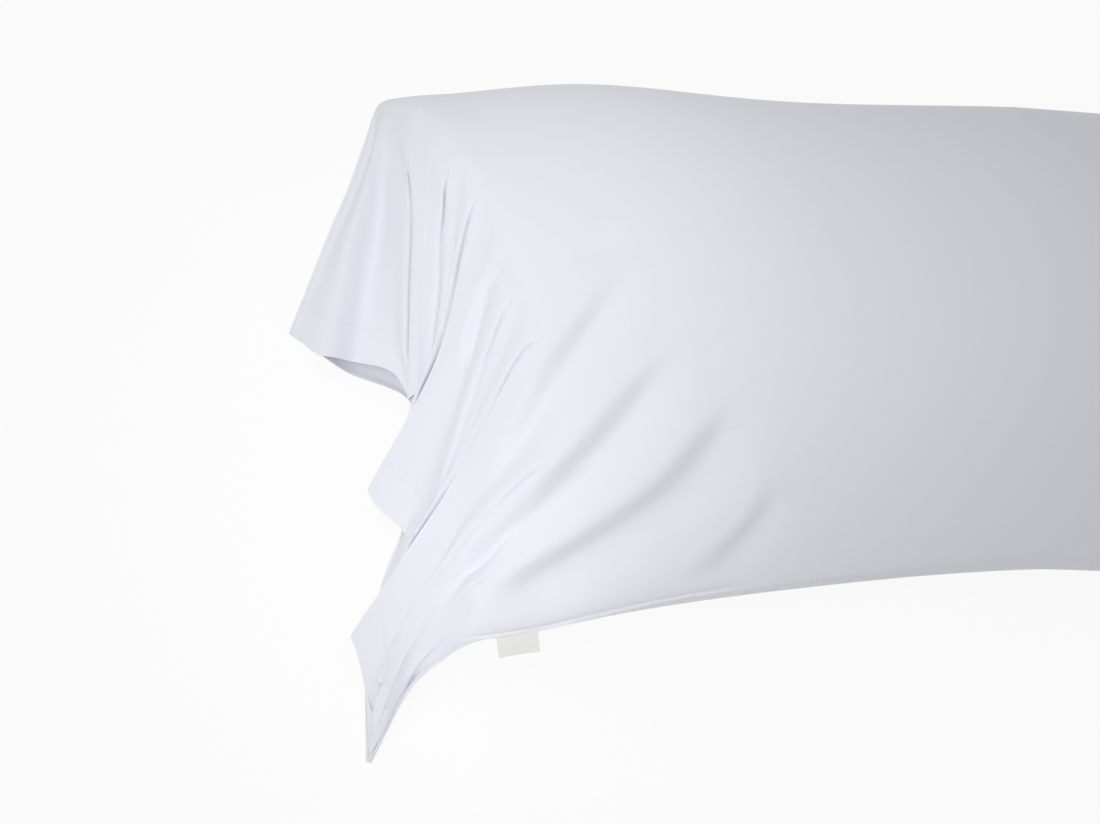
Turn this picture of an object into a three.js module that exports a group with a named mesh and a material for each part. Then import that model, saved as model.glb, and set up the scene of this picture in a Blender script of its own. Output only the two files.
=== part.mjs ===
// A white bolster pillowcase on its filled bolster, lying on a flat surface.
// The sewn end is at +X. At -X the case runs on past the filling, and its loose, open end
// falls from the filled end to the surface and is swept in folds towards the near side (-Y).
// Millimetres, +Z up, the surface is z = 0, the origin is under the middle of the filled body.
import * as THREE from "three";

// ---- Driving dimensions -----------------------------------------------------------------
const FILLED_LENGTH = 980; // filled end to sewn edge; the tables below measure x from the filled end
const HALF_WIDTH = { middle: 158, mouth: 208, sewn: 206 };
const CROWN = { middle: 120, mouth: 62 }; // height of the body above its side seam
const SEAM_HEIGHT = { middle: 94, mouth: 44, sewn: 64 };
const BELLY_SHARE = 1.12; // depth below the seam over seam height, so that the body has a flat spot
const MOUTH_TAPER = 400; // towards the filled end the body widens and flattens over this length
const SEWN_TAPER = 270;
const SEWN_EDGE = 3; // half thickness of the sewn edge
const MOUTH_SPREAD = 1.3; // how soon the mouth end's width and flatness fade along the body
const SEWN_CLOSE = { height: 2.4, width: 1.6, seam: 1.5 }; // how late each one changes at the sewn end
const FLATNESS = 0.24; // the flattened mouth end falls more straight to its seams
const NEAR_FLANK = 0.6; // and so does the top layer on the near side, along the whole body
const SEWN_DRAW_IN = 20; // the filling pulls in the middle of the sewn edge
// Bulges of the two sides at the filled end
const BULGE = { far: { out: 22, at: 130, spread: 95 }, near: { out: 5, at: 85, spread: 55 } };
const WALL = { top: 3, back: 2 }; // the two layers of the hollow loose end
const MOUTH_DEPTH = 0.5; // the share of the loose guide lines that is hollow
const MOUTH_SPAN = ["flap far", "panel F"]; // the hollow lies between these lines of the top layer
const MOUTH_FLOOR = ["back 2", "back 6"]; // and these of the layer underneath
const LABEL = { width: 23, drop: 12, thick: 1.2, at: 81, clear: 0.5, lean: 0.35 };

// Guide lines run from the open mouth up onto the body. Each passes hem, mid and top, where it
// meets the body. A fold also has lift, the height of its step, and ease, the width of its back.
const TOP_LINES = [
  { name: "far edge", hem: [-56, 38, 3], mid: [-25, 132, 30], top: [6, 206], around: 0 },
  { name: "flap far", hem: [-35, 14, 14], mid: [-14, 112, 44], top: [12, 203] },
  { name: "flap dip", hem: [-14, 11, 16], mid: [-4, 92, 52], top: [18, 196] },
  { name: "flap near", hem: [12, -2, 20], mid: [8, 76, 60], top: [24, 187] },
  { name: "fold A", hem: [23, -24, 16], mid: [17, 60, 66], top: [27, 176], lift: 8, ease: 10 },
  { name: "panel B", hem: [26, -40, 14], mid: [30, 20, 70], top: [50, 120] },
  { name: "fold D", hem: [-3, -88, 14], mid: [33, -33, 70], top: [70, 70], lift: 9, ease: 12 },
  { name: "panel D", hem: [10, -106, 12], mid: [46, -66, 70], top: [88, 10] },
  { name: "fold F", hem: [-10, -184, 12], mid: [34, -128, 56], top: [100, -52], lift: 9, ease: 12 },
  { name: "panel F", hem: [0, -212, 10], mid: [38, -156, 52], top: [104, -90] },
  { name: "ridge G", hem: [3, -238, 13], mid: [28, -179, 48], top: [104, -124] },
  { name: "ridge M", hem: [5, -249, 8], mid: [28, -201, 32], top: [66, -176] },
  { name: "seam", hem: [5, -254, 2], mid: [28, -212, 14], top: [62, -205], around: 1 },
];
// The layer underneath lies on the surface. It shares the far edge and the seam.
const BACK_LINES = [
  TOP_LINES[0],
  { name: "back 1", hem: [-38, 26, 0], mid: [-16, 124, 3], around: 0.12 },
  { name: "back 2", hem: [-18, 11, 0], mid: [-2, 98, 0], around: 0.25 },
  { name: "back 3", hem: [23, -9, 0], mid: [22, 58, 0], around: 0.38 },
  { name: "back 4", hem: [32, -60, 0], mid: [38, 0, 0], around: 0.5 },
  { name: "back 5", hem: [20, -106, 0], mid: [44, -62, 0], around: 0.62 },
  { name: "back 6", hem: [8, -145, 0], mid: [40, -114, 0], around: 0.72 },
  { name: "back 7", hem: [7, -204, 0], mid: [34, -168, 0], around: 0.85 },
  TOP_LINES.at(-1),
];
const MID_AT = 0.35; // where a guide line passes its mid and its top
const TOP_AT = 0.7;
const STATION = 200; // where the guide lines end and the plain sections of the body start
const NEXT_STATION = 290; // gives the lines their slope at their end
const ONTO_BODY = { from: 0.5, over: 0.3 }; // where along a guide line it becomes the body's surface
const FOLD_FADE = { from: 0.25, over: 0.45 }; // where along it a fold's step dies out
const FOLD_ONTO_BODY = { from: 0.55, over: 0.2 };
const CREST_SHARE = 0.9; // height of a fold's crest over that of its edge
const CHORD_POWER = 0.75; // spacing of the smooth curves, kept from swinging out at uneven points
const BACK_TOP_X = 80; // where the lines of the underneath layer meet the body
const FOLD_GAP = 6; // spacing of a fold's foot and edge on the body, where it has died out
const FOOT_GAP = 2; // and at the mouth, where its step is steep
const HALF_GIRTH = 440; // of the body, to turn such a spacing into a share of the way around
const LINE_STEPS = 20;
const BETWEEN_LINES = 2; // mesh columns from one guide line to the next
const BETWEEN_BACK_LINES = 3;
const BODY_STEPS = 8;
const SEWN_STEPS = 9;
const LABEL_FOLD_STEPS = 6;

// ---- Small sums -------------------------------------------------------------------------
const mix = (a, b, t) => a + (b - a) * t;
const mixPoints = (p, q, t) => p.map((c, i) => mix(c, q[i], t));
const limit = (t) => Math.min(1, Math.max(0, t));
const smooth = (t) => limit(t) ** 2 * (3 - 2 * limit(t));
const ramp = (t, { from, over }) => smooth((t - from) / over);
const bulge = (x, { out, at, spread }) => out * Math.exp(-(((x - at) / spread) ** 2));
const distance = (p, q) => Math.hypot(...p.map((c, i) => c - q[i]));
const steps = (n) => Array.from({ length: n + 1 }, (_, i) => i / n);

// A smooth curve through points, with the parabola through three neighbours as its tangent.
function curve(points, knots) {
  const along = [0];
  for (let i = 1; i < points.length; i++) {
    along.push(along[i - 1] + distance(points[i], points[i - 1]) ** CHORD_POWER);
  }
  const slope = (p, q, i, j) => p.map((c, k) => (q[k] - c) / (along[j] - along[i]));
  const tangents = points.map((p, i) => {
    if (i === 0) return slope(p, points[1], 0, 1);
    if (i === points.length - 1) return slope(points[i - 1], p, i - 1, i);
    const before = slope(points[i - 1], p, i - 1, i);
    const after = slope(p, points[i + 1], i, i + 1);
    return mixPoints(before, after, (along[i] - along[i - 1]) / (along[i + 1] - along[i - 1]));
  });
  return (t) => {
    let i = 0;
    while (i < points.length - 2 && t >= knots[i + 1]) i++;
    const s = (t - knots[i]) / (knots[i + 1] - knots[i]);
    const h = along[i + 1] - along[i];
    return points[i].map((c, k) =>
      c * (2 * s ** 3 - 3 * s ** 2 + 1) + points[i + 1][k] * (3 * s ** 2 - 2 * s ** 3)
      + h * tangents[i][k] * (s ** 3 - 2 * s ** 2 + s) + h * tangents[i + 1][k] * (s ** 3 - s ** 2));
  };
}

// ---- The filled body --------------------------------------------------------------------
// Its section at x. The body is widest and flattest at the mouth end, and closes at the sewn edge.
function section(x) {
  const mouth = (1 - limit(x / MOUTH_TAPER)) ** MOUTH_SPREAD;
  const sewn = limit(1 - (FILLED_LENGTH - x) / SEWN_TAPER);
  const swell = Math.sqrt(1 - sewn ** SEWN_CLOSE.height);
  const open = mix(HALF_WIDTH.middle, HALF_WIDTH.mouth, mouth);
  const seam = mix(SEAM_HEIGHT.middle, SEAM_HEIGHT.mouth, mouth);
  return {
    halfWidth: mix(open, HALF_WIDTH.sewn, sewn ** SEWN_CLOSE.width),
    far: bulge(x, BULGE.far),
    near: bulge(x, BULGE.near),
    seam: mix(seam, SEAM_HEIGHT.sewn, sewn ** SEWN_CLOSE.seam),
    crown: Math.max(SEWN_EDGE, mix(CROWN.middle, CROWN.mouth, mouth) * swell),
    belly: Math.max(SEWN_EDGE, seam * BELLY_SHARE * swell),
    straight: 1 + FLATNESS * mouth,
    nearFlank: NEAR_FLANK * (1 - sewn),
    drawIn: SEWN_DRAW_IN * sewn ** 2,
  };
}

// A point on it: around is 0 at the far side, 0.5 on the middle line and 1 at the near seam.
function bodyPoint(x, around, underneath) {
  const s = section(x);
  const cos = Math.cos(Math.PI * around);
  const sin = Math.abs(Math.sin(Math.PI * around));
  const nearer = underneath ? 0 : smooth(1.5 * around - 0.5);
  const rise = sin ** (s.straight + s.nearFlank * nearer);
  return [
    x - s.drawIn * sin ** 2,
    cos * (s.halfWidth + (cos > 0 ? s.far : s.near)),
    underneath ? Math.max(0, s.seam - s.belly * rise) : s.seam + s.crown * rise,
  ];
}

function aroundAt([x, y]) {
  const s = section(x);
  const width = s.halfWidth + (y > 0 ? s.far : s.near);
  return Math.acos(Math.max(-1, Math.min(1, y / width))) / Math.PI;
}

// ---- The loose end ----------------------------------------------------------------------
// One guide line as points from hem to station. It becomes the body's own surface at its top.
function guide(line, underneath) {
  const around = line.around ?? aroundAt(line.top);
  const top = bodyPoint(line.top ? line.top[0] : BACK_TOP_X, around, underneath);
  const station = bodyPoint(STATION, around, underneath);
  const beyond = bodyPoint(NEXT_STATION, around, underneath);
  const at = curve([line.hem, line.mid, top, station, beyond], [0, MID_AT, TOP_AT, 1, 2 - TOP_AT]);
  const points = steps(LINE_STEPS).map((v) => {
    const p = at(v);
    return mixPoints(p, bodyPoint(p[0], around, underneath), ramp(v, ONTO_BODY));
  });
  return { name: line.name, around, points, raise: points.map(() => 0) };
}

// A fold is three lines: the foot of its step, its edge, and the crest behind the edge.
// raise is how far each stands above the sheet that the folds are made in.
function foldLines(line) {
  const { around, points } = guide(line, false);
  const parts = [
    { part: "foot", body: -FOLD_GAP, hem: -FOOT_GAP, high: 0 },
    { part: "edge", body: 0, hem: 0, high: 1 },
    { part: "crest", body: line.ease, hem: line.ease, high: CREST_SHARE },
  ];
  const fullness = (j) => 1 - ramp(j / LINE_STEPS, FOLD_FADE);
  return parts.map(({ part, body, hem, high }) => {
    const own = around + body / HALF_GIRTH;
    return {
      name: `${line.name} ${part}`,
      around: own,
      raise: points.map((_, j) => high * line.lift * fullness(j)),
      points: points.map((p, j) => {
        const [q, r] = [points[Math.max(0, j - 1)], points[Math.min(LINE_STEPS, j + 1)]];
        const run = Math.hypot(r[0] - q[0], r[1] - q[1]);
        const aside = mix(body, hem, fullness(j)) / run;
        const moved = [p[0] + (r[1] - q[1]) * aside, p[1] - (r[0] - q[0]) * aside, p[2]];
        return mixPoints(moved, bodyPoint(p[0], own, false), ramp(j / LINE_STEPS, FOLD_ONTO_BODY));
      }),
    };
  });
}

// Mesh columns across a set of lines, with more between each two on a smooth curve.
function columnsAcross(lines, between, folded) {
  const knots = lines.map((_, i) => i);
  const rows = lines[0].points.map((_, j) => curve(lines.map((l) => l.points[j]), knots));
  const around = curve(lines.map((l) => [l.around]), knots);
  return steps((lines.length - 1) * between).map((t) => {
    const at = t * (lines.length - 1);
    const i = Math.min(Math.floor(at + 1e-9), lines.length - 2);
    const raise = (j) => (folded ? mix(lines[i].raise[j], lines[i + 1].raise[j], smooth(at - i)) : 0);
    const lifted = ([x, y, z], j) => [x, y, Math.max(0, z) + raise(j)];
    return { around: around(at)[0], points: rows.map((row) => row(at)).map(lifted) };
  });
}

// The body's own stations, from the end of the guide lines to the sewn edge.
const bodyStations = [
  ...steps(BODY_STEPS).slice(1).map((t) => mix(STATION, FILLED_LENGTH - SEWN_TAPER, t)),
  ...steps(SEWN_STEPS).slice(1).map((t) => FILLED_LENGTH - SEWN_TAPER * (1 - Math.sin((t * Math.PI) / 2))),
];

function alongBody(column, underneath) {
  const around = limit(column.around);
  return [...column.points, ...bodyStations.map((x) => bodyPoint(x, around, underneath))];
}

// ---- Closed surfaces --------------------------------------------------------------------
class Surface {
  vertices = [];
  triangles = [];
  known = new Map();

  vertex(p) {
    const key = p.map((c) => c.toFixed(3)).join();
    if (!this.known.has(key)) {
      this.known.set(key, this.vertices.length / 3);
      this.vertices.push(...p);
    }
    return this.known.get(key);
  }

  triangle(a, b, c) {
    const corners = [a, c, b].map((p) => this.vertex(p));
    if (new Set(corners).size === 3) this.triangles.push(...corners);
  }

  // Two neighbouring lines are sewn together, each step taken on the line that lags behind.
  bridge(a, b) {
    for (let i = 0, j = 0; i < a.length - 1 || j < b.length - 1; ) {
      const [doneA, doneB] = [(i + 1) / (a.length - 1), (j + 1) / (b.length - 1)];
      const onA = j === b.length - 1 || (i < a.length - 1 && doneA <= doneB);
      if (onA) this.triangle(a[i], a[i + 1], b[j]);
      else this.triangle(a[i], b[j + 1], b[j]);
      if (onA) i++;
      else j++;
    }
  }

  sheet(columns) {
    for (let k = 1; k < columns.length; k++) this.bridge(columns[k - 1], columns[k]);
  }

  geometry() {
    const geometry = new THREE.BufferGeometry();
    geometry.setAttribute("position", new THREE.Float32BufferAttribute(this.vertices, 3));
    geometry.setIndex(this.triangles);
    geometry.computeVertexNormals();
    return geometry;
  }
}

const row = (columns, at) => columns.map((c) => c.at(at));

// ---- The case ---------------------------------------------------------------------------
// The part of a set of lines that lies over the hollow, as columns down to its inner end.
function hollowColumns(lines, span, between) {
  const [from, to] = span.map((name) => lines.findIndex((l) => l.name === name) * between);
  const last = Math.round(MOUTH_DEPTH * LINE_STEPS);
  const columns = columnsAcross(lines, between, false).slice(from, to + 1);
  return columns.map((c) => c.points.slice(0, last + 1));
}

// A sheet moved off itself by a wall's thickness, downwards for a positive one.
function offset(columns, wall) {
  const last = columns.length - 1;
  const across = (k, j) => [columns[Math.max(0, k - 1)][j], columns[Math.min(last, k + 1)][j]];
  return columns.map((column, k) => column.map((p, j) => {
    const [a, b] = across(k, j);
    const [c, d] = [column[Math.max(0, j - 1)], column[Math.min(column.length - 1, j + 1)]];
    const normal = new THREE.Vector3(b[0] - a[0], b[1] - a[1], b[2] - a[2])
      .cross(new THREE.Vector3(d[0] - c[0], d[1] - c[1], d[2] - c[2])).normalize();
    return p.map((value, i) => value - wall * normal.getComponent(i));
  }));
}

function caseGeometry() {
  const topLines = TOP_LINES.flatMap((line) => (line.lift ? foldLines(line) : [guide(line, false)]));
  const backLines = BACK_LINES.map((line) => guide(line, !line.top));
  const top = columnsAcross(topLines, BETWEEN_LINES, true).map((c) => alongBody(c, false));
  const back = columnsAcross(backLines, BETWEEN_BACK_LINES, false).map((c) => alongBody(c, true));
  const ceiling = offset(hollowColumns(topLines, MOUTH_SPAN, BETWEEN_LINES), WALL.top);
  const floor = hollowColumns(backLines, MOUTH_FLOOR, BETWEEN_BACK_LINES)
    .map((column) => column.map(([x, y, z]) => [x, y, z + WALL.back]));
  for (const [at, end] of [[0, "unshift"], [-1, "push"]]) {
    const side = ceiling.at(at).map((p, j) => mixPoints(p, floor.at(at)[j], 0.5));
    ceiling[end](side);
    floor[end](side);
  }

  const s = new Surface();
  s.sheet(top);
  s.sheet(back.toReversed());
  s.bridge(row(back, -1), row(top, -1)); // the sewn edge
  s.sheet(ceiling.toReversed());
  s.sheet(floor);
  s.bridge(row(ceiling, -1), row(floor, -1)); // the inner end of the hollow
  s.bridge(row(top, 0), row(ceiling, 0)); // the hem of each layer
  s.bridge(row(floor, 0), row(back, 0));
  return s.geometry();
}

// ---- The label: a ribbon folded in two, caught in the near seam --------------------------
function labelMesh() {
  const { width, drop, thick, at, clear, lean } = LABEL;
  const profile = new THREE.Shape();
  profile.moveTo(0, 0);
  profile.lineTo(0, thick / 2 - drop);
  profile.absarc(thick / 2, thick / 2 - drop, thick / 2, Math.PI, 2 * Math.PI);
  profile.lineTo(thick, 0);
  const extrusion = { depth: width, bevelEnabled: false, curveSegments: LABEL_FOLD_STEPS };
  const geometry = new THREE.ExtrudeGeometry(profile, extrusion);
  geometry.translate(0, 0, -width / 2);
  const seam = new THREE.Vector3(...bodyPoint(at, 1, false));
  const along = new THREE.Vector3(...bodyPoint(at - width / 2, 1, false))
    .sub(new THREE.Vector3(...bodyPoint(at + width / 2, 1, false))).normalize();
  const outward = new THREE.Vector3(0, 0, 1).cross(along).normalize();
  const mesh = new THREE.Mesh(geometry, ribbon);
  mesh.name = "label";
  const frame = new THREE.Matrix4().makeBasis(outward, along.clone().cross(outward), along);
  mesh.quaternion.setFromRotationMatrix(frame.multiply(new THREE.Matrix4().makeRotationZ(lean)));
  mesh.position.copy(seam).addScaledVector(outward, clear);
  return mesh;
}

const cloth = new THREE.MeshStandardMaterial({ color: 0xe9ebef, roughness: 0.62 });
const ribbon = new THREE.MeshStandardMaterial({ color: 0xf3f3f1, roughness: 0.7 });
const pillowcase = new THREE.Mesh(caseGeometry(), cloth);
pillowcase.name = "case";

const part = new THREE.Group();
part.add(pillowcase, labelMesh());
part.position.x = -FILLED_LENGTH / 2;
export default part;
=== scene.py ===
# %% [markdown]
# # A bolster pillowcase on its bolster
# The object is a long white sleeve of cotton sateen. It is sewn along both sides and one end,
# and filled by a bolster for most of its length. The open end runs on past the filling, so it
# falls empty to the surface and is swept towards the near side in overlapping folds.
# Everything is worked out in millimetres and turned to metres when a mesh is made.

# %% Load the frame
import math

import bmesh
import bpy
import numpy as np
from mathutils import Matrix, Vector


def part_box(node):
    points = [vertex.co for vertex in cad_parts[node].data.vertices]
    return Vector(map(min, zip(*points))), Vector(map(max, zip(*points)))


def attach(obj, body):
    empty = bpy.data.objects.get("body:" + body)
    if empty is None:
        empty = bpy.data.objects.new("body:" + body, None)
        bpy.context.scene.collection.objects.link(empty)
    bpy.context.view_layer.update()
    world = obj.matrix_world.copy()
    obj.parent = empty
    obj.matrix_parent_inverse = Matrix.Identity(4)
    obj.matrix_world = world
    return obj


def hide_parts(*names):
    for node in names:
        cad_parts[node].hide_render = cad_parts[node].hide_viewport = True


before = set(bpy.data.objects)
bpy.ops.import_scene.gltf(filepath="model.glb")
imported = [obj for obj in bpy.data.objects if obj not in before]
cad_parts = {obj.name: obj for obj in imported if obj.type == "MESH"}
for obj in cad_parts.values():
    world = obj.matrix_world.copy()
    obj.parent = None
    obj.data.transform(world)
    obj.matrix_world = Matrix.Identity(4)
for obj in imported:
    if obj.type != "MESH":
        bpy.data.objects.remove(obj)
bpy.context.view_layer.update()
MM = 0.001
case_low, case_high = (np.array(corner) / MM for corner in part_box("case"))
print("case from", case_low.round(1), "to", case_high.round(1), "mm")

# %% [markdown]
# ## The filled body
# The body is described by its section at each x, measured from the filled end. A section has a
# half width, the height of the side seams, a crown above them and a belly below. The belly is
# cut off at the surface, which gives the flat spot that a soft, heavy roll lies on.
# A formula is better than sculpting here: every later step can ask it where the cloth is.

# %% Sizes of the body
FILLED_LENGTH = 2 * case_high[0]
HALF_WIDTH = {"middle": 158, "mouth": 208, "sewn": 206}
CROWN = {"middle": 120, "mouth": 62}  # height of the body above its side seam
SEAM_HEIGHT = {"middle": 94, "mouth": 44, "sewn": 64}
BELLY_SHARE = 1.12  # depth below the seam over seam height
MOUTH_TAPER, SEWN_TAPER = 400, 270  # over these lengths each end widens and flattens
MOUTH_SPREAD = 1.3  # how soon the mouth end's width and flatness fade
SEWN_CLOSE = {"height": 2.4, "width": 1.6, "seam": 1.5}  # how late each changes at the sewn end
FLATNESS = 0.24  # the flattened mouth end falls more straight to its seams
NEAR_FLANK = 0.6  # and so does the upper layer all along the near side
SEWN_EDGE = 1.4  # half thickness of the sewn edge
SEWN_DRAW_IN = 20  # the filling pulls in the middle of the sewn edge
FAR_BULGE = {"out": 22, "at": 130, "spread": 95}  # bulges of the two sides at the filled end
NEAR_BULGE = {"out": 5, "at": 85, "spread": 55}
CROWN_BULGE = {"out": 7, "at": 190, "spread": 80}  # the filling's end, felt under the crown


# %% Small sums
def mix(a, b, t):
    return a + (b - a) * t


def smooth(t):
    t = np.clip(t, 0, 1)
    return t * t * (3 - 2 * t)


def ramp(t, start, end):
    """0 before start and 1 after end, with a smooth way between."""
    return smooth((t - start) / (end - start))


def bell(t):
    return np.exp(-np.square(t))


def unit(vectors):
    return vectors / np.maximum(np.linalg.norm(vectors, axis=-1, keepdims=True), 1e-9)


def run_length(points):
    """Distance walked so far along a line of points, or along each of a grid's columns."""
    steps = np.linalg.norm(np.diff(points, axis=-2), axis=-1)
    return np.concatenate([0 * steps[..., :1], np.cumsum(steps, axis=-1)], axis=-1)


# %% A point on the body
def body_point(x, around, underneath=False):
    """around is 0 at the far side seam, 0.5 on the middle line and 1 at the near seam."""
    x, around = np.broadcast_arrays(np.asarray(x, float), np.asarray(around, float))
    mouth = (1 - np.clip(x / MOUTH_TAPER, 0, 1)) ** MOUTH_SPREAD
    sewn = np.clip(1 - (FILLED_LENGTH - x) / SEWN_TAPER, 0, 1)
    swell = np.sqrt(1 - sewn ** SEWN_CLOSE["height"])
    seam = mix(SEAM_HEIGHT["middle"], SEAM_HEIGHT["mouth"], mouth)
    height = mix(seam, SEAM_HEIGHT["sewn"], sewn ** SEWN_CLOSE["seam"])
    crown = np.maximum(SEWN_EDGE, mix(CROWN["middle"], CROWN["mouth"], mouth) * swell)
    belly = np.maximum(SEWN_EDGE, seam * BELLY_SHARE * swell)
    half = mix(mix(HALF_WIDTH["middle"], HALF_WIDTH["mouth"], mouth), HALF_WIDTH["sewn"],
               sewn ** SEWN_CLOSE["width"])
    far, close, over = (b["out"] * bell((x - b["at"]) / b["spread"])
                        for b in (FAR_BULGE, NEAR_BULGE, CROWN_BULGE))
    cos, sin = np.cos(np.pi * around), np.abs(np.sin(np.pi * around))
    near = 0 if underneath else smooth(1.5 * around - 0.5)
    rise = sin ** (1 + FLATNESS * mouth + NEAR_FLANK * near * (1 - sewn))
    over = height + crown * rise + over * sin ** 3
    z = np.maximum(0, height - belly * rise) if underneath else over
    y = cos * (half + np.where(cos > 0, far, close))
    return np.stack([x - SEWN_DRAW_IN * sewn ** 2 * sin ** 2, y, z], -1)


def around_at(x, y):
    half = body_point(x, 0.0 if y > 0 else 1.0)[1]
    return math.acos(np.clip(y / abs(half), -1, 1)) / math.pi


print("section at the middle is", round(2 * body_point(500, 0)[1]), "mm wide and",
      round(body_point(500, 0.5)[2]), "mm high")

# %% [markdown]
# ## The loose end
# The loose end is cloth, so its shape follows its folds. It is drawn as a maker would lay it
# out: guide lines run from the open hem up the slope to the filled body. Each passes
# its hem point, its mid point and its top, where it becomes the body's own surface. Smooth
# curves across the lines then give the whole sheet, and a fold is a line where that sheet
# doubles back under itself. The tables hold one row for each line.

# %% Guide lines of the upper layer
# drop is how far the doubled-back cloth lies below the fold's edge at the hem, reach is how far
# it goes back, and ease is the width over which the upper cloth rounds over the edge.
# dies is where along the line the fold has run out into smooth cloth, and tucked is how far up
# the lower cloth stays hidden under the edge. rounded is how far the hem's corner is drawn up.
TOP_LINES = [
    dict(name="far edge", hem=(-56, 38, 2), mid=(-25, 132, 30), top=(6, 206), around=0),
    dict(name="flap far", hem=(-35, 14, 12.5), mid=(-14, 112, 47), top=(12, 203)),
    dict(name="flap dip", hem=(-14, 11, 14), mid=(-4, 92, 43), top=(18, 196)),
    dict(name="flap near", hem=(12, -2, 20), mid=(8, 76, 58), top=(24, 187)),
    dict(name="fold A", hem=(21, -24, 22), mid=(19.5, 60, 72), top=(27, 176),
         reach=14, drop=12, ease=8, dies=0.54, deep=3.6),
    dict(name="panel B", hem=(27, -40, 18), mid=(27, 30, 74), top=(40, 138)),
    dict(name="fold C", hem=(31, -54, 13), mid=(37, 12, 75), top=(50, 108),
         reach=5, drop=3, ease=3, dies=0.6, deep=3.8),
    dict(name="fold D", hem=(-3, -88, 14), mid=(33, -33, 72), top=(70, 70),
         reach=32, drop=9, ease=7, dies=0.62, tucked=0.3, rounded=3),
    dict(name="panel D", hem=(20, -112, 12), mid=(45, -60, 73), top=(80, 24)),
    dict(name="fold E", hem=(33, -146, 9), mid=(45, -97, 67), top=(92, -12),
         reach=5, drop=3, ease=3, dies=0.61),
    dict(name="fold F", hem=(-10, -184, 12), mid=(34, -128, 62), top=(100, -52),
         reach=40, drop=8, ease=7, dies=0.66, deep=2.4, tucked=0.28, rounded=2.5),
    dict(name="panel F", hem=(0, -210, 9), mid=(38, -156, 56), top=(104, -90)),
    dict(name="fold G", hem=(3, -231, 5), mid=(28, -176, 44), top=(104, -124),
         reach=7, drop=3, ease=4, dies=0.66, deep=2.4),
    dict(name="fold M", hem=(4, -244, 3.5), mid=(28, -199, 25), top=(66, -176),
         reach=4, drop=1.5, ease=3, dies=0.66, deep=0.4),
    dict(name="seam", hem=(5, -254, 2), mid=(28, -212, 14), top=(62, -205), around=1),
]
# The layer underneath lies on the surface. It shares the far edge and the near seam.
BACK_LINES = [
    TOP_LINES[0],
    dict(name="back 1", hem=(-38, 26, 0), mid=(-16, 124, 3), around=0.12),
    dict(name="back 2", hem=(-18, 11, 0), mid=(-2, 98, 0), around=0.25),
    dict(name="back 3", hem=(23, -9, 0), mid=(22, 58, 0), around=0.38),
    dict(name="back 4", hem=(32, -60, 0), mid=(38, 0, 0), around=0.5),
    dict(name="back 5", hem=(20, -106, 0), mid=(44, -62, 0), around=0.62),
    dict(name="back 6", hem=(8, -145, 0), mid=(40, -114, 0), around=0.72),
    dict(name="back 7", hem=(7, -204, 0), mid=(34, -168, 0), around=0.85),
    TOP_LINES[-1],
]
MID_AT, TOP_AT = 0.35, 0.7  # where a guide line passes its mid and its top
STATION, NEXT_STATION = 200, 290  # the plain sections of the body start at STATION
BACK_TOP_X = 80  # where the lines of the underneath layer meet the body
HALF_GIRTH = 440  # of the body, to turn a width into a share of the way around
# The narrow groove along a fold's edge: its depth, and where the lower cloth leads into it and
# turns under the edge. SNUG is how far the lower cloth lies below the edge away from the hem.
GROOVE = {"deep": 3.2, "lead": -1.6, "tuck": 0.4, "end": -0.7}
SNUG = 4
# How far each line of a fold is drawn up to round the hem's corner, in shares of rounded. The
# cloth underneath goes up furthest, so that only the upper hem shows.
DRAWN_UP, HIDDEN_UP = {"edge": 1, "crest": -1}, 2.8
HEM_ZONE, HEM_STEPS, SLOPE_STEPS = 0.13, 34, 88  # mesh steps in the hem and above it
CHORD_POWER = 0.75  # spacing of the smooth curves, kept from swinging out at uneven points


# %% A smooth curve through points
def curve(points, knots, ts):
    """points is (count, ..., 3); returns (len(ts), ..., 3). Its slope at each point is that of
    the parabola through three neighbours."""
    points, knots, ts = np.asarray(points, float), np.asarray(knots, float), np.asarray(ts, float)
    step = np.linalg.norm(np.diff(points, axis=0), axis=-1, keepdims=True) ** CHORD_POWER
    step = np.maximum(step, 1e-6)
    slope = np.diff(points, axis=0) / step
    share = step[:-1] / (step[:-1] + step[1:])
    tangent = np.concatenate([slope[:1], mix(slope[:-1], slope[1:], share), slope[-1:]])
    i = np.clip(np.searchsorted(knots, ts, side="right") - 1, 0, len(knots) - 2)
    s = ((ts - knots[i]) / (knots[i + 1] - knots[i])).reshape([-1] + [1] * (points.ndim - 1))
    h = step[i]
    return (points[i] * (2 * s ** 3 - 3 * s ** 2 + 1) + points[i + 1] * (3 * s ** 2 - 2 * s ** 3)
            + h * tangent[i] * (s ** 3 - 2 * s ** 2 + s) + h * tangent[i + 1] * (s ** 3 - s ** 2))


# %% Guide lines and folds as rows of points
along = np.concatenate([np.linspace(0, HEM_ZONE, HEM_STEPS, endpoint=False),
                        np.linspace(HEM_ZONE, 1, SLOPE_STEPS)])


def guide(line, underneath=False):
    around = line.get("around", around_at(*line["top"]) if "top" in line else None)
    top = body_point(line.get("top", (BACK_TOP_X, 0))[0], around, underneath)
    ends = [body_point(x, around, underneath) for x in (STATION, NEXT_STATION)]
    passed_at = [0, MID_AT, TOP_AT, 1, 2 - TOP_AT]
    points = curve([line["hem"], line["mid"], top, *ends], passed_at, along)
    onto_body = ramp(along, 0.5, 0.8)[:, None]
    return dict(name=line["name"], around=around,
                points=mix(points, body_point(points[:, 0], around, underneath), onto_body))


def aside_of(points):
    """The level direction towards the near side, square to a line that runs up from the hem."""
    run = unit(np.gradient(points[:, :2], axis=0))
    return np.stack([run[:, 1], -run[:, 0], 0 * run[:, 0]], -1)


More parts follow.
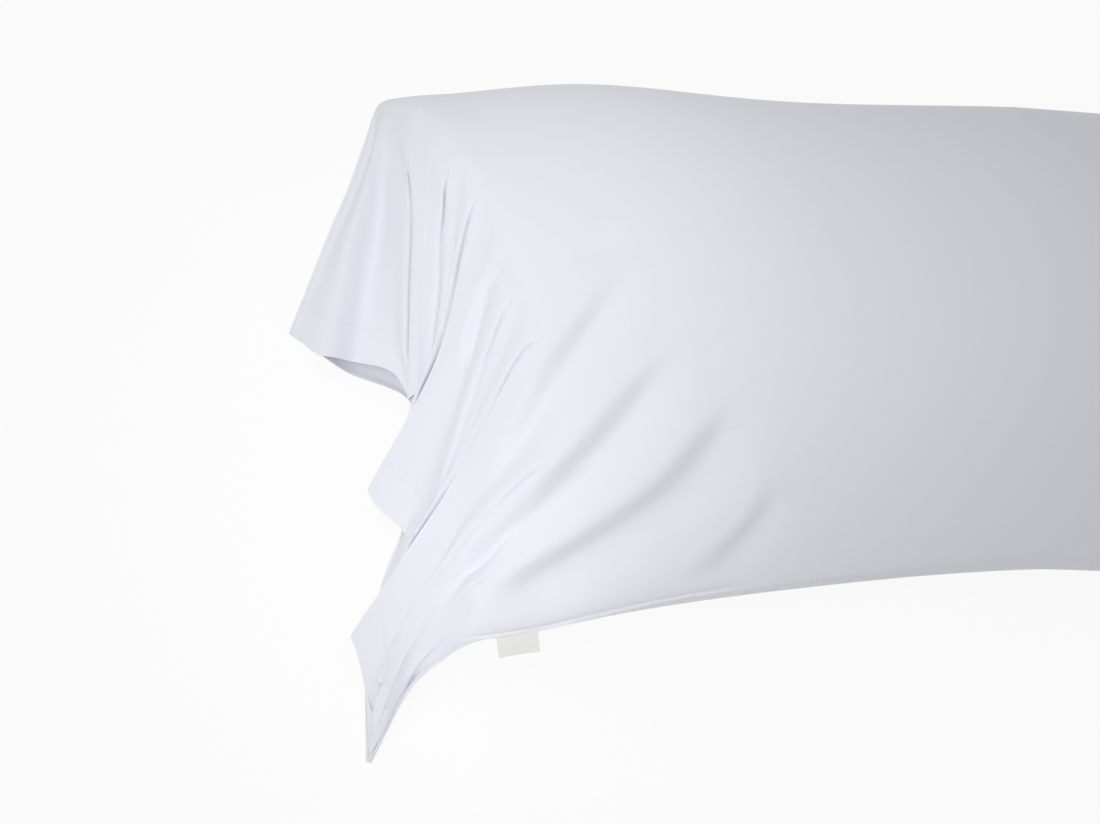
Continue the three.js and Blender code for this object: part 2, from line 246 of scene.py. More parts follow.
def cross_slope(points, other):
    """How steeply the cloth rises from a line, square to it, towards another line."""
    run = unit(np.gradient(points[:, :2], axis=0))
    apart = other[None, :, :2] - points[:, None, :2]
    off = abs(np.sum(apart * run[:, None], -1))
    nearest = np.argmin(off + 0.3 * np.linalg.norm(apart, axis=-1), axis=1)
    reached = apart[np.arange(len(points)), nearest]
    aside = np.sum(reached * aside_of(points)[:, :2], -1)
    aside = np.where(abs(aside) < 4, 4 * np.sign(aside), aside)
    slope = np.clip((other[nearest, 2] - points[:, 2]) / aside, -1.3, 1.3)
    return np.convolve(np.pad(slope, 6, mode="edge"), np.ones(13) / 13, mode="valid")


def fold_lines(line, before, after):
    """A fold is five lines: where the lower cloth leads in, where it tucks under the edge, where
    it turns back, the fold's edge, and its crest. Where the fold has run out a narrow groove
    carries on."""
    base = guide(line)
    full = 1 - ramp(along, 0.2, line["dies"])
    by_hem = 1 - ramp(along, 0, line.get("tucked", 0.12))
    settle = ramp(along, 0.55, 0.75)[:, None]
    groove = 1 - ramp(along, line["dies"] - 0.03, line["dies"])
    deep = line.get("deep", GROOVE["deep"]) * groove
    reach, drop = line["reach"], mix(min(line["drop"], SNUG), line["drop"], by_hem)
    tuck = mix(GROOVE["end"], GROOVE["tuck"], smooth(3 * full))
    slopes = [cross_slope(base["points"], guide(other)["points"]) for other in (before, after)]
    up_the_line = unit(np.gradient(base["points"], axis=0))
    rounded = line.get("rounded", 0) * (1 - ramp(along, 0, 0.08))
    rows = []
    for part, spread, aside, below in (
            ("lead", GROOVE["lead"], mix(GROOVE["lead"], 0.4 * reach, by_hem),
             mix(0.2 * deep, drop, by_hem)),
            ("tuck", GROOVE["end"], mix(tuck, 0.7 * reach, by_hem), mix(deep, drop, by_hem)),
            ("under", -0.6, mix(-0.6, reach, full), drop * full + 0.9 * deep * (1 - by_hem)),
            ("edge", 0, 0 * full, 0 * full),
            ("crest", 6, mix(6, line["ease"], full), -0.4 * full)):
        around = base["around"] + spread / HALF_GIRTH
        points = base["points"] + aside_of(base["points"]) * aside[:, None]
        points[:, 2] += aside * np.where(aside < 0, *slopes)
        points = mix(points, body_point(base["points"][:, 0], around), settle)
        points[:, 2] -= below
        points += up_the_line * (DRAWN_UP.get(part, HIDDEN_UP) * rounded)[:, None]
        rows.append(dict(name=line["name"] + " " + part, around=around, points=points))
    return rows


def seam_lines(line, side, height):
    """The two edges of a sewn seam's narrow ridge and the groove beside it, next to a seam."""
    base = guide(line)
    settle = ramp(along, 0.5, 0.7)[:, None]
    narrow = mix(0.6, 1, ramp(along, 0, 0.3))
    outward = mix(np.array([0, 0, 1.0]), np.array([0, side, 0.0]), settle)
    rows = []
    for part, inset, share, lift in (("band", 2.2, 0.025, 0.25), ("groove", 3.7, 0.034, -0.9),
                                     ("inner", 5.6, 0.046, 0)):
        around = abs(base["around"] - share)
        points = base["points"] + aside_of(base["points"]) * (side * inset * narrow)[:, None]
        points = mix(points, body_point(base["points"][:, 0], around), settle)
        points = points + height * lift * outward
        rows.append(dict(name=line["name"] + " " + part, around=around, points=points))
    return rows if side > 0 else rows[::-1]


top_rows = []
for i, line in enumerate(TOP_LINES):
    folded = "reach" in line
    top_rows += fold_lines(line, TOP_LINES[i - 1], TOP_LINES[i + 1]) if folded else [guide(line)]
top_rows[1:1] = seam_lines(TOP_LINES[0], 1, height=0.15)
top_rows[-1:-1] = seam_lines(TOP_LINES[-1], -1, height=1)
back_rows = [guide(line, "top" not in line) for line in BACK_LINES]
print(len(top_rows), "lines over,", len(back_rows), "lines underneath")


# %% Columns of the mesh across the lines
def columns_across(rows, spacing):
    """More columns where two lines are far apart, so that the mesh is even."""
    points = np.array([row["points"] for row in rows])
    around = np.array([[row["around"]] for row in rows])
    gaps = np.linalg.norm(np.diff(points[:, ::10], axis=0), axis=-1).max(axis=1)
    counts = np.maximum(2, np.ceil(gaps / spacing).astype(int))
    ts = np.concatenate([i + np.arange(n) / n for i, n in enumerate(counts)] + [[len(rows) - 1]])
    knots = np.arange(len(rows))
    grid = curve(points, knots, ts)
    grid[..., 2] = np.maximum(grid[..., 2], 0)
    return grid, np.clip(curve(np.repeat(around[..., None], 1, 2), knots, ts)[:, 0, 0], 0, 1), ts


TOP_SPACING, BACK_SPACING = 3.0, 9  # between columns, finer where the folds are
CREASE_SPACING, CREASES_END = 4, 240  # a finer mesh where a crease runs on past STATION
BODY_SPACING, SEWN_STEPS = 13, 30
crease_x = np.arange(STATION + CREASE_SPACING, CREASES_END, CREASE_SPACING)
body_x = np.arange(CREASES_END, FILLED_LENGTH - SEWN_TAPER, BODY_SPACING)
sewn_x = FILLED_LENGTH - SEWN_TAPER * (1 - np.sin(np.linspace(0, np.pi / 2, SEWN_STEPS)))
station_x = np.concatenate([crease_x, body_x, sewn_x])


def along_body(grid, around, underneath):
    """The sheet carried on along the body. Underneath, where the lines are far apart, it first
    settles onto the body's own round section."""
    if underneath:
        body = body_point(grid[..., 0], around[:, None], underneath)
        grid = mix(grid, body, ramp(along, 0.65, 0.98)[:, None])
    body = body_point(station_x[None, :], around[:, None], underneath)
    return np.concatenate([grid, body], axis=1)


top_grid, top_around, top_t = columns_across(top_rows, TOP_SPACING)
back_grid, back_around, back_t = columns_across(back_rows, BACK_SPACING)
top_grid = along_body(top_grid, top_around, False)
back_grid = along_body(back_grid, back_around, True)
print("upper layer", top_grid.shape[:2], "underneath", back_grid.shape[:2])

# %% [markdown]
# ## Soft creases
# Cloth that is drawn towards one corner over something soft falls into long troughs. A real
# one isn't even: its crest is sharp, its steep side is short, and its foot runs out gently.
# They could be sculpted by hand, but a short table keeps each one's place and size in view,
# and the same profile, pushed along the surface's own direction, fits them all.

# %% The troughs and creases
# path is in plan, from the body down towards the hem. rise is the crest and dip the foot, both
# from the plain sheet, and width the distance across. fades is the share of the path over which
# each end runs out. side is 1 with the crest on the far side of the foot, -1 on the near side.
# grows is the share by which a crease is deeper at the end of its path than at its start.
CREASES = [
    dict(name="upper", path=((132, 26), (118, 6), (104, -10)),
         width=7, rise=0.8, dip=1.6, fades=(0.5, 0.5), side=1, steep=1.4),
    dict(name="H",
         path=((143, -10), (122, -33), (105, -56), (90, -76), (73, -105), (57, -136)),
         width=7, rise=1.5, dip=2.9, fades=(0.3, 0.25), side=1, grows=0.9),
    dict(name="I",
         path=((165, -64), (142, -87), (121, -109), (97, -131), (70, -151), (46, -166)),
         width=7.5, rise=2.1, dip=3.6, fades=(0.3, 0.12), side=1, grows=0.9),
    dict(name="J",
         path=((194, -98), (175, -119), (154, -139), (131, -152), (104, -165), (62, -184)),
         width=8.5, rise=2.6, dip=4.4, fades=(0.25, 0.12), side=1, grows=0.3),
    dict(name="K", path=((219, -132), (207, -152), (190, -168), (183, -178)),
         width=6, rise=1.3, dip=2.9, fades=(0.4, 0.3), side=1),
    dict(name="L", path=((192, -160), (178, -172), (171, -180)),
         width=2.5, rise=0.7, dip=1.2, fades=(0.5, 0.4), side=1),
    dict(name="bent", path=((78, 10), (66, 9), (58, 2), (53, -12), (48, -34), (45, -60)),
         width=4.5, rise=1.2, dip=3.2, fades=(0.3, 0.3), side=1),
    dict(name="bent ridge", path=((64, -1), (57, -14), (52, -34), (49, -56)),
         width=2.6, rise=1.4, dip=0.2, fades=(0.4, 0.4), side=1),
    dict(name="corner", path=((4, 166), (9, 145), (13, 122), (17, 92), (19, 70)),
         width=5, rise=0.6, dip=2.6, fades=(0.2, 0.5), side=-1),
    dict(name="beside C", path=((32, 104), (35, 78), (38, 50)),
         width=5, rise=0.3, dip=1.2, fades=(0.5, 0.5), side=-1),
    dict(name="beside A", path=((10, 150), (17, 106), (20, 74)),
         width=3, rise=0.8, dip=1.1, fades=(0.5, 0.3), side=1),
    dict(name="flap", path=((0, 170), (-8, 120), (-13, 75), (-19, 30), (-23, 4)),
         width=9, rise=2.4, dip=5.5, fades=(0.5, 0.02), side=1),
    dict(name="by the seam", path=((52, -198), (30, -204)),
         width=3, rise=0.6, dip=1.2, fades=(0.5, 0.5), side=1),
    dict(name="sewn end far", path=((872, 112), (925, 134), (972, 152)),
         width=8, rise=1.0, dip=2.0, fades=(0.6, 0.1), side=1),
    dict(name="sewn end 2", path=((850, 48), (912, 66), (966, 78)),
         width=10, rise=1.2, dip=2.4, fades=(0.6, 0.1), side=-1),
    dict(name="sewn end 3", path=((876, -18), (922, -24), (962, -32)),
         width=8, rise=0.8, dip=1.6, fades=(0.6, 0.1), side=1),
    dict(name="sewn end near", path=((846, -92), (905, -112), (970, -136)),
         width=10, rise=1.2, dip=2.6, fades=(0.6, 0.1), side=-1),
]
CREST_AT, FOOT_AT = 0.5, 0.6  # where the crest and foot lie across, in widths
LONG_SIDE, STEEP_SIDE = 2.2, 0.8  # how far they run out, away from and towards each other
PATH_STEPS = 80
DIED_OUT = 2.5  # a bell has died out this many of its widths from its middle


# %% A crease pushed into a sheet
def grid_normals(columns):
    return unit(np.cross(np.gradient(columns, axis=0), np.gradient(columns, axis=1)))


def lopsided(s, before, after):
    return bell(s / np.where(s < 0, before, after))


def laid_on(grid, path):
    """A path in plan laid on top of the sheet, as a smooth line of points."""
    flat = grid.reshape(-1, 3)
    heights = []
    for x, y in path:
        apart = np.hypot(flat[:, 0] - x, flat[:, 1] - y)
        heights.append(flat[apart < max(3, apart.min() + 1), 2].max())
    points = np.column_stack([path, heights])
    return curve(points, np.arange(len(path)), np.linspace(0, len(path) - 1, PATH_STEPS))


def creased(grid, crease):
    path = laid_on(grid, crease["path"])
    heading = unit(np.gradient(path, axis=0))
    reach = DIED_OUT * LONG_SIDE * crease["width"]
    inside = np.all((grid > path.min(0) - reach) & (grid < path.max(0) + reach), axis=-1)
    points, normals = grid[inside], grid_normals(grid)[inside]
    apart = np.linalg.norm(points[:, None] - path[None], axis=-1)
    # One direction for each place along the path, from all the cloth near it
    up = unit(np.exp(-apart / crease["width"]).T @ normals)
    nearest = np.argmin(apart, axis=1)
    offset = points - path[nearest]
    across = np.sum(offset * np.cross(up, heading)[nearest], -1)
    s = crease["side"] * across / crease["width"]
    steep = crease.get("steep", STEEP_SIDE)
    height = (crease["rise"] * lopsided(s + CREST_AT, LONG_SIDE, steep)
              - crease["dip"] * lopsided(s - FOOT_AT, steep, LONG_SIDE))
    t = nearest / (PATH_STEPS - 1)
    height *= smooth(t / crease["fades"][0]) * smooth((1 - t) / crease["fades"][1])
    height *= 1 + crease.get("grows", 0) * t
    result = grid.copy()
    result[inside] += height[:, None] * up[nearest]
    return result


if grid_normals(top_grid)[..., 2].mean() < 0:
    raise ValueError("the upper layer faces down")
for crease in CREASES:
    before = top_grid
    top_grid = creased(top_grid, crease)
    moved = np.linalg.norm(top_grid - before, axis=-1)
    print(crease["name"], "moves the cloth by up to", moved.max().round(1), "mm")

# %% The hem
HEM = {"deep": 25, "stitched_at": 23.5, "raised": 0.35, "pulled_in": 0.55}


def hemmed(grid):
    """The turned-up hem is a little thicker, and its stitching pulls a fine channel."""
    up_the_cloth = run_length(grid)
    height = HEM["raised"] * (1 - smooth((up_the_cloth - HEM["deep"]) / 1.2))
    height -= HEM["pulled_in"] * bell((up_the_cloth - HEM["stitched_at"]) / 1.1)
    return grid + height[..., None] * grid_normals(grid)


seams = back_grid[[0, -1]]
top_grid, back_grid = hemmed(top_grid), hemmed(back_grid)
back_grid[..., 2] = np.maximum(back_grid[..., 2], 0)
top_grid[[0, -1]] = back_grid[[0, -1]] = seams  # the layers stay joined along the two sides
print("hem is", HEM["deep"], "mm deep")

# %% [markdown]
# ## Welding the sheets into one closed piece
# The two layers meet along the far edge, the near seam and the sewn end. At the mouth they are
# apart, and each is a thin layer, so the mouth is a real pocket: an inner surface runs a
# wall's thickness inside the outer one, and the hem joins the two.

# %% A closed surface from grids of points
WELD = 0.004  # vertices closer than this are one
SHARP_FROM = 50  # degrees: edges sharper than this, such as the hem's, are shaded as edges


class Surface:
    def __init__(self):
        self.points, self.flat, self.faces = [], [], []

    def grid(self, columns, flip=False):
        start = sum(len(p) for p in self.points)
        n, m = columns.shape[:2]
        self.points.append(columns.reshape(-1, 3))
        down, across = run_length(columns), run_length(columns.swapaxes(0, 1)).T
        self.flat.append(np.stack([down, across], -1).reshape(-1, 2))
        ids = start + np.arange(n * m).reshape(n, m)
        a, b, c, d = ids[:-1, :-1], ids[1:, :-1], ids[1:, 1:], ids[:-1, 1:]
        quads = np.stack([a, d, c, b] if flip else [a, b, c, d], -1).reshape(-1, 4)
        self.faces += quads.tolist()
        return ids

    def bridge(self, one, two, flip=False, level=False):
        """Sews two lines of vertices together, always by the shorter of the two next steps. With
        level on, only the way towards the near side counts, for lines far apart in height."""
        points = np.concatenate(self.points)
        a, b = points[one], points[two]
        if level:
            a, b = (np.minimum.accumulate(line[:, 1:2]) for line in (a, b))
        i = j = 0
        while i < len(a) - 1 or j < len(b) - 1:
            on_one = np.linalg.norm(a[min(i + 1, len(a) - 1)] - b[j])
            on_two = np.linalg.norm(a[i] - b[min(j + 1, len(b) - 1)])
            if j == len(b) - 1 or (i < len(a) - 1 and on_one <= on_two):
                face = [one[i], one[i + 1], two[j]]
                i += 1
            else:
                face = [one[i], two[j + 1], two[j]]
                j += 1
            self.faces.append([int(v) for v in (face[::-1] if flip else face)])

    def object(self, name, material):
        """The welded mesh, with each vertex's place on the flat cloth as its UV map."""
        mesh = bpy.data.meshes.new(name)
        points = np.concatenate(self.points) - [FILLED_LENGTH / 2, 0, 0]
        mesh.from_pydata((points * MM).tolist(), [], self.faces)
        corners = np.array([loop.vertex_index for loop in mesh.loops])
        layer = mesh.uv_layers.new(name="cloth")
        layer.data.foreach_set("uv", (np.concatenate(self.flat)[corners] * MM).ravel())
        bm = bmesh.new()
        bm.from_mesh(mesh)
        bmesh.ops.remove_doubles(bm, verts=bm.verts, dist=WELD * MM)
        bmesh.ops.dissolve_degenerate(bm, edges=bm.edges, dist=WELD * MM / 20)
        bmesh.ops.recalc_face_normals(bm, faces=bm.faces)
        gaps = sum(len(edge.link_faces) != 2 for edge in bm.edges)
        bm.to_mesh(mesh)
        mesh.shade_smooth()
        mesh.set_sharp_from_angle(angle=math.radians(SHARP_FROM))
        mesh.materials.append(material)
        piece = bpy.data.objects.new(name, mesh)
        bpy.context.scene.collection.objects.link(piece)
        corner_count = sum(len(face.vertices) - 2 for face in mesh.polygons)
        print(name, "has", corner_count, "triangles and", gaps, "open edges")
        return piece


# %% Assembling the case
WALL = 0.6  # thickness of one layer of the loose end
POCKET_DEPTH = 0.42  # the share of the guide lines that is hollow
POCKET_SPAN = ["flap far", "panel F"]  # the hollow lies between these lines of the upper layer
POCKET_FLOOR = ["back 1", "back 7"]
FLOOR_RISE = {"share": 0.6, "over": 18}  # the lower layer clings to the upper one behind the hem


def pocket(grid, rows, ts, span, wall):
    knots = [next(i for i, row in enumerate(rows) if row["name"] == name) for name in span]
    first, last = (int(np.argmin(abs(ts - knot))) for knot in knots)
    deep = int(np.searchsorted(along, POCKET_DEPTH))
    return (grid - wall * grid_normals(grid))[first:last + 1, :deep + 1]


ceiling = pocket(top_grid, top_rows, top_t, POCKET_SPAN, WALL)
floor = pocket(back_grid, back_rows, back_t, POCKET_FLOOR, -WALL)
floor[..., 2] = np.maximum(floor[..., 2], WALL)
low_over = np.array([np.interp(-floor[:, k, 1], np.maximum.accumulate(-ceiling[:, k, 1]),
                               ceiling[:, k, 2]) for k in range(floor.shape[1])]).T
risen = smooth((run_length(floor) - 3) / FLOOR_RISE["over"])
floor[..., 2] = mix(floor[..., 2], FLOOR_RISE["share"] * low_over, risen)
for at in (0, -1):
    side = (ceiling[at] + floor[at])[None] / 2
    ceiling = np.concatenate([side, ceiling] if at == 0 else [ceiling, side])
    floor = np.concatenate([side, floor] if at == 0 else [floor, side])

case_surface = Surface()
over = case_surface.grid(top_grid)
under = case_surface.grid(back_grid, flip=True)
inner_over = case_surface.grid(ceiling, flip=True)
inner_under = case_surface.grid(floor)
case_surface.bridge(over[:, -1], under[:, -1])  # the sewn edge
case_surface.bridge(inner_over[:, -1], inner_under[:, -1], flip=True, level=True)  # pocket's end
case_surface.bridge(over[:, 0], inner_over[:, 0], flip=True)  # the two hems
case_surface.bridge(under[:, 0], inner_under[:, 0])

sateen = bpy.data.materials.new("cotton_sateen")
case = case_surface.object("case_cloth", sateen)
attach(case, "root")
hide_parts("case")

# %% [markdown]
# ## A function for nodes
# Materials and Geometry Nodes are both trees of nodes. One small function adds a node, sets its
# properties, and fills its inputs with a value or a link, so that a tree reads as a list.

# %% Adding a node
def add(tree, kind, settings=None, inputs=None):
    """An input is named or numbered, and takes a value, or an output to be linked to it."""
    node = tree.nodes.new(kind)
    for name, value in (settings or {}).items():
        setattr(node, name, value)
    for name, value in (inputs or {}).items():
        if isinstance(value, bpy.types.NodeSocket):
            tree.links.new(value, node.inputs[name])
        else:
            node.inputs[name].default_value = value
    return node


# %% [markdown]
# ## Stitching
# A row of machine stitches holds the hem, and another runs beside each side seam. A stitch is a
# short bead of thread, and there are more than eight hundred. Modelling one and repeating it by
# hand would be slow, and a texture would lie flat, so Geometry Nodes walk along a line and set
# a bead at each step. The stitches are about 3 mm long on a real case, and are kept so here.

# %% The stitch tree
def stitch_tree():
    tree = bpy.data.node_groups.new("running_stitches", "GeometryNodeTree")
    tree.interface.new_socket("Line", in_out="INPUT", socket_type="NodeSocketGeometry")
    for name in ("Pitch", "Length", "Thickness"):
        tree.interface.new_socket(name, in_out="INPUT", socket_type="NodeSocketFloat")
    tree.interface.new_socket("Thread", in_out="INPUT", socket_type="NodeSocketMaterial")
    tree.interface.new_socket("Stitches", in_out="OUTPUT", socket_type="NodeSocketGeometry")
    given = add(tree, "NodeGroupInput").outputs
    line = add(tree, "GeometryNodeMeshToCurve", inputs={"Mesh": given["Line"]})
    spaced = add(tree, "GeometryNodeResampleCurve", {"mode": "LENGTH"},
                 {"Curve": line.outputs[0], "Length": given["Pitch"]})
    heading = add(tree, "GeometryNodeInputTangent")
    turn = add(tree, "FunctionNodeAlignRotationToVector", {"axis": "X"},
               {"Vector": heading.outputs[0]})
    bead = add(tree, "GeometryNodeMeshUVSphere", inputs={"Segments": 6, "Rings": 4, "Radius": 0.5})
    size = add(tree, "ShaderNodeCombineXYZ",
               inputs={"X": given["Length"], "Y": given["Thickness"], "Z": given["Thickness"]})
    uneven = add(tree, "FunctionNodeRandomValue", {"data_type": "FLOAT"},
                 {"Min": 0.9, "Max": 1.1, "Seed": 4})
    sized = add(tree, "ShaderNodeVectorMath", {"operation": "SCALE"},
                {0: size.outputs[0], "Scale": next(o for o in uneven.outputs if o.enabled)})
    placed = add(tree, "GeometryNodeInstanceOnPoints",
                 inputs={"Points": spaced.outputs[0], "Instance": bead.outputs["Mesh"],
                         "Rotation": turn.outputs[0], "Scale": sized.outputs[0]})
    solid = add(tree, "GeometryNodeRealizeInstances", inputs={"Geometry": placed.outputs[0]})
    painted = add(tree, "GeometryNodeSetMaterial",
                  inputs={"Geometry": solid.outputs[0], "Material": given["Thread"]})
    add(tree, "NodeGroupOutput", inputs={"Stitches": painted.outputs[0]})
    return tree


# %% Lines for the stitches
STITCH = {"Pitch": 3.4, "Length": 2.8, "Thickness": 0.45}
THREAD_OVER = 0.05  # the thread's middle lies this far over the cloth, so half of it shows


def line_across(grid, depth):
    """The line that lies a given way up the cloth from the hem, from one side to the other."""
    up_the_cloth = run_length(grid)
    return np.array([[np.interp(depth, up_the_cloth[k], grid[k, :, i]) for i in range(3)]
                     for k in range(len(grid))])


def column_of(name):
    return int(np.argmin(abs(top_t - [row["name"] for row in top_rows].index(name))))


lifted = top_grid + THREAD_OVER * grid_normals(top_grid)
stitch_lines = [line_across(lifted, HEM["stitched_at"])[2:-2],
                lifted[column_of("far edge band"), 2:-2], lifted[column_of("seam band"), 2:-2]]

# %% Sewing
thread = bpy.data.materials.new("cotton_thread")
mesh = bpy.data.meshes.new("stitches")
points = (np.concatenate(stitch_lines) - [FILLED_LENGTH / 2, 0, 0]) * MM
ends = np.cumsum([len(line) for line in stitch_lines])
edges = [(i, i + 1) for i in range(ends[-1] - 1) if i + 1 not in ends]
mesh.from_pydata(points.tolist(), edges, [])
holder = bpy.data.objects.new("stitch_lines", mesh)
bpy.context.scene.collection.objects.link(holder)
tree = stitch_tree()
sewing = holder.modifiers.new("stitches", "NODES")
sewing.node_group = tree
for item in tree.interface.items_tree:
    if item.name in STITCH:
        sewing[item.identifier] = STITCH[item.name] * MM
    elif item.name == "Thread":
        sewing[item.identifier] = thread
evaluated = holder.evaluated_get(bpy.context.evaluated_depsgraph_get())
stitches = bpy.data.objects.new("stitches", bpy.data.meshes.new_from_object(evaluated))
bpy.context.scene.collection.objects.link(stitches)
holder.modifiers.remove(sewing)
bpy.data.objects.remove(holder)
stitches.data.shade_smooth()
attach(stitches, "root")
print("stitches have", len(stitches.data.polygons), "faces")

# %% [markdown]
# ## The side label
# A short ribbon is folded in two and caught in the near seam. It is a strip bent round one
# tight fold, so it is made from its side view: down, round the fold and up again, then drawn
# across the ribbon's width. The weave keeps it flat but for a slight bow.

# %% The label
# at is the place along the seam, clear the gap to it, lean the tilt out from the case in radians,
# apart the gap between the two halves, and bow how far the ribbon's sides curl out.
LABEL = {"width": 23, "drop": 12, "at": 81, "clear": 0.5, "lean": 0.5, "apart": 0.7,
         "thick": 0.35, "into_seam": 1.5, "bow": 0.8}


def label_centre():
    """The ribbon's middle surface, as columns across its width."""
    radius = LABEL["apart"] / 2
    straight = np.linspace(LABEL["into_seam"], radius - LABEL["drop"], 14)
    bend = np.linspace(0, np.pi, 10)[1:-1]
    out = np.concatenate([0 * straight, radius * (1 - np.cos(bend)), 0 * straight + 2 * radius])
    up = np.concatenate([straight, straight[-1] - radius * np.sin(bend), straight[::-1]])
    wide = np.linspace(-0.5, 0.5, 12)
    bow = LABEL["bow"] * np.outer(4 * wide ** 2, np.clip(-up / LABEL["drop"], 0, 1) ** 2)
    lean = LABEL["lean"]
    x = np.cos(lean) * (out + bow) - np.sin(lean) * up + LABEL["clear"]
    y = np.sin(lean) * (out + bow) + np.cos(lean) * up
    z = np.broadcast_to((wide * LABEL["width"])[:, None], x.shape)
    seam_way = unit(body_point(LABEL["at"] - 1, 1) - body_point(LABEL["at"] + 1, 1))
    outward = unit(np.cross([0, 0, 1], seam_way))
    upward = np.cross(seam_way, outward)
    return (body_point(LABEL["at"], 1) + x[..., None] * outward + y[..., None] * upward
            + z[..., None] * seam_way)


centre = label_centre()
half = LABEL["thick"] / 2 * grid_normals(centre)
label_surface = Surface()
outer = label_surface.grid(centre + half)
inner = label_surface.grid(centre - half, flip=True)
for edge in (np.s_[:, 0], np.s_[:, -1], np.s_[0], np.s_[-1]):
    label_surface.bridge(outer[edge], inner[edge])
ribbon = bpy.data.materials.new("woven_ribbon")
label = label_surface.object("label_ribbon", ribbon)
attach(label, "root")
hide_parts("label")

# %% [markdown]
# ## Colour
# Colours are written as a designer would, in sRGB hex, and one function turns them to the
# linear values that a shader takes.

# %% Hex to linear
def hex_colour(code):
    parts = [int(code[i:i + 2], 16) / 255 for i in (1, 3, 5)]
    return [c / 12.92 if c <= 0.04045 else ((c + 0.055) / 1.055) ** 2.4 for c in parts] + [1]


def dressed(material, colour, roughness, sheen, **more):
    """The material's shader with its plain values set."""
    material.use_nodes = True
    shader = material.node_tree.nodes["Principled BSDF"]
    shader.inputs["Base Color"].default_value = hex_colour(colour)
    shader.inputs["Roughness"].default_value = roughness
    shader.inputs["Sheen Weight"].default_value = sheen
    for name, value in more.items():
        shader.inputs[name.replace("_", " ")].default_value = value
    return material.node_tree, shader


# %% [markdown]
# ## Cotton sateen
# Sateen is woven so that most threads float over four others. That leaves a smooth face with a
# quiet sheen along the threads, and no weave that shows from a step away. The threads are about
# 0.12 mm apart. Lines so fine would only flicker, so they are drawn 0.9 mm apart and very
# shallow, as the faint streaks that the floats leave. The cloth is a clear, slightly cool white.

# %% The case's cloth
STREAK = {"across": 0.9, "along": 9, "deep": 0.03}  # mm
tree, shader = dressed(sateen, "#f1f3fa", 0.58, 0.08, Sheen_Roughness=0.4)
place = add(tree, "ShaderNodeUVMap", {"uv_map": "cloth"})
scaled = add(tree, "ShaderNodeMapping",
             inputs={"Vector": place.outputs[0],
                     "Scale": (1 / (STREAK["along"] * MM), 1 / (STREAK["across"] * MM), 1)})
streaks = add(tree, "ShaderNodeTexNoise", {"noise_dimensions": "2D"},
              {"Vector": scaled.outputs[0], "Scale": 1.0, "Detail": 2.0, "Roughness": 0.6})
relief = add(tree, "ShaderNodeBump", inputs={"Height": streaks.outputs[0], "Strength": 0.5,
                                             "Distance": STREAK["deep"] * MM})
tree.links.new(relief.outputs[0], shader.inputs["Normal"])

# %% [markdown]
# ## Ribbon and thread
# The label is a narrow woven ribbon whose ribs run across it, 0.6 mm apart. The thread is
# mercerised cotton, white like the cloth and a little glossier, so its stitches catch the light.
# Its plies are twisted, which leaves small knobs on it about 0.3 mm apart.

# %% The label's ribbon and the thread
RIB = {"apart": 0.6, "deep": 0.08}  # mm
tree, shader = dressed(ribbon, "#fcfcfa", 0.7, 0.1, Sheen_Roughness=0.5)
place = add(tree, "ShaderNodeUVMap", {"uv_map": "cloth"})
parts = add(tree, "ShaderNodeSeparateXYZ", inputs={0: place.outputs[0]})
turns = add(tree, "ShaderNodeMath", {"operation": "MULTIPLY"},
            {0: parts.outputs["X"], 1: 2 * math.pi / (RIB["apart"] * MM)})
rib = add(tree, "ShaderNodeMath", {"operation": "SINE"}, {0: turns.outputs[0]})
relief = add(tree, "ShaderNodeBump", inputs={"Height": rib.outputs[0], "Strength": 0.5,
                                             "Distance": RIB["deep"] * MM})
tree.links.new(relief.outputs[0], shader.inputs["Normal"])

TWIST = {"apart": 0.3, "deep": 0.05}  # mm
tree, shader = dressed(thread, "#f3f5f9", 0.45, 0.0)
place = add(tree, "ShaderNodeTexCoord")
knobs = add(tree, "ShaderNodeTexNoise", inputs={"Vector": place.outputs["Object"],
                                                "Scale": 1 / (TWIST["apart"] * MM)})
relief = add(tree, "ShaderNodeBump", inputs={"Height": knobs.outputs[0], "Strength": 0.5,
                                             "Distance": TWIST["deep"] * MM})
tree.links.new(relief.outputs[0], shader.inputs["Normal"])
print("materials:", [m.name for m in (sateen, ribbon, thread)])

# %% [markdown]
# ## The floor
# The object lies on white paper that fades into a white background. Making the paper glow
# would light the object from below, so it glows only to the camera and in reflections. The
# rest is a plain matt white, which takes the object's soft shadow and sends light back up.

# %% White paper
GLOW = 0.9  # share of the floor's look that is plain white
bpy.ops.mesh.primitive_plane_add(size=12)
ground = bpy.context.object
ground.name = "floor"
paper = bpy.data.materials.new("white_paper")
tree, shader = dressed(paper, "#f6f6f6", 0.9, 0.0)
path = add(tree, "ShaderNodeLightPath")
seen = add(tree, "ShaderNodeMath", {"operation": "MAXIMUM"},
           {0: path.outputs["Is Camera Ray"], 1: path.outputs["Is Glossy Ray"]})
share = add(tree, "ShaderNodeMath", {"operation": "MULTIPLY"}, {0: seen.outputs[0], 1: GLOW})
white = add(tree, "ShaderNodeEmission", inputs={"Strength": 1.0})
both = add(tree, "ShaderNodeMixShader",
           inputs={0: share.outputs[0], 1: shader.outputs[0], 2: white.outputs[0]})
tree.links.new(both.outputs[0], tree.nodes["Material Output"].inputs["Surface"])
ground.data.materials.append(paper)

# %% [markdown]
# ## Light
# The room is a pale, even studio. Five weak softboxes stand round the open end, each with a
# honeycomb grid, which is what the spread of an area lamp stands for. They light the loose folds
# from all sides, and leave the long body to the room, so that the light fades along the case.

# %% The studio and its softboxes
ROOM = 0.515  # the strength of the room's own light
world = bpy.data.worlds.new("studio")
bpy.context.scene.world = world
world.use_nodes = True
tree = world.node_tree
tree.nodes["Background"].inputs["Strength"].default_value = ROOM
tree.nodes["Background"].inputs["Color"].default_value = (1, 1, 1, 1)


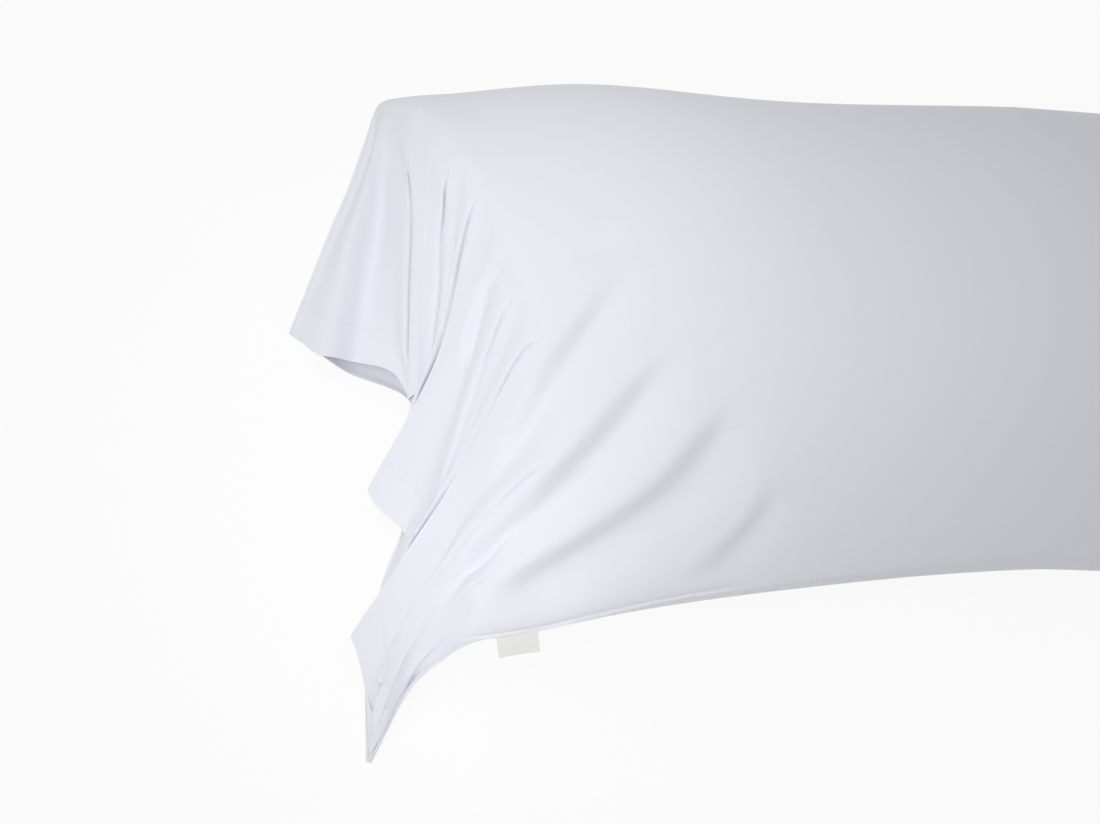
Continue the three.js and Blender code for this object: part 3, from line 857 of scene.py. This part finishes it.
def lamp(name, place, target, size, power, spread):
    data = bpy.data.lights.new(name, "AREA")
    data.shape, data.size, data.energy, data.spread = "SQUARE", size, power, math.radians(spread)
    light = bpy.data.objects.new(name, data)
    light.location = place
    light.rotation_mode = "QUATERNION"
    light.rotation_quaternion = (Vector(target) - Vector(place)).to_track_quat("-Z", "Y")
    bpy.context.scene.collection.objects.link(light)


lamp("end box", (-0.95, -0.05, 0.60), (-0.45, -0.05, 0.08), size=0.45, power=0.172, spread=80)
lamp("near box", (-0.75, -0.45, 0.80), (-0.42, -0.02, 0.12), size=0.25, power=0.1, spread=50)
lamp("low box", (-0.60, -0.75, 0.60), (-0.40, -0.12, 0.05), size=0.25, power=0.1, spread=60)
lamp("far box", (-0.75, 0.35, 0.65), (-0.42, 0.10, 0.13), size=0.25, power=0.07, spread=50)
lamp("tip box", (-0.50, -0.50, 0.60), (-0.43, -0.18, 0.03), size=0.12, power=0.011, spread=26)

# %% [markdown]
# ## Camera
# The camera looks down at the open end from the near side, a little turned about its own axis,
# so that the case lies across the frame and runs out of it on the right.

# %% The camera
ELEVATION, AZIMUTH, ROLL = (math.radians(angle) for angle in (55, 14, 14.24))
LOOKING_AT, DISTANCE = Vector((-0.3888, -0.0670, 0.08)), 0.8968
ahead = Vector((math.sin(AZIMUTH) * math.cos(ELEVATION), math.cos(AZIMUTH) * math.cos(ELEVATION),
                -math.sin(ELEVATION)))
level_right = Vector((math.cos(AZIMUTH), -math.sin(AZIMUTH), 0))
upright = level_right.cross(ahead)
right = math.cos(ROLL) * level_right + math.sin(ROLL) * upright
up = math.cos(ROLL) * upright - math.sin(ROLL) * level_right
camera = bpy.data.objects.new("camera", bpy.data.cameras.new("camera"))
camera.data.lens, camera.data.sensor_width = 50, 36
camera.matrix_world = Matrix((right, up, -ahead)).transposed().to_4x4()
camera.matrix_world.translation = LOOKING_AT - DISTANCE * ahead
bpy.context.scene.collection.objects.link(camera)
bpy.context.scene.camera = camera
bpy.context.scene.view_settings.view_transform = "Standard"
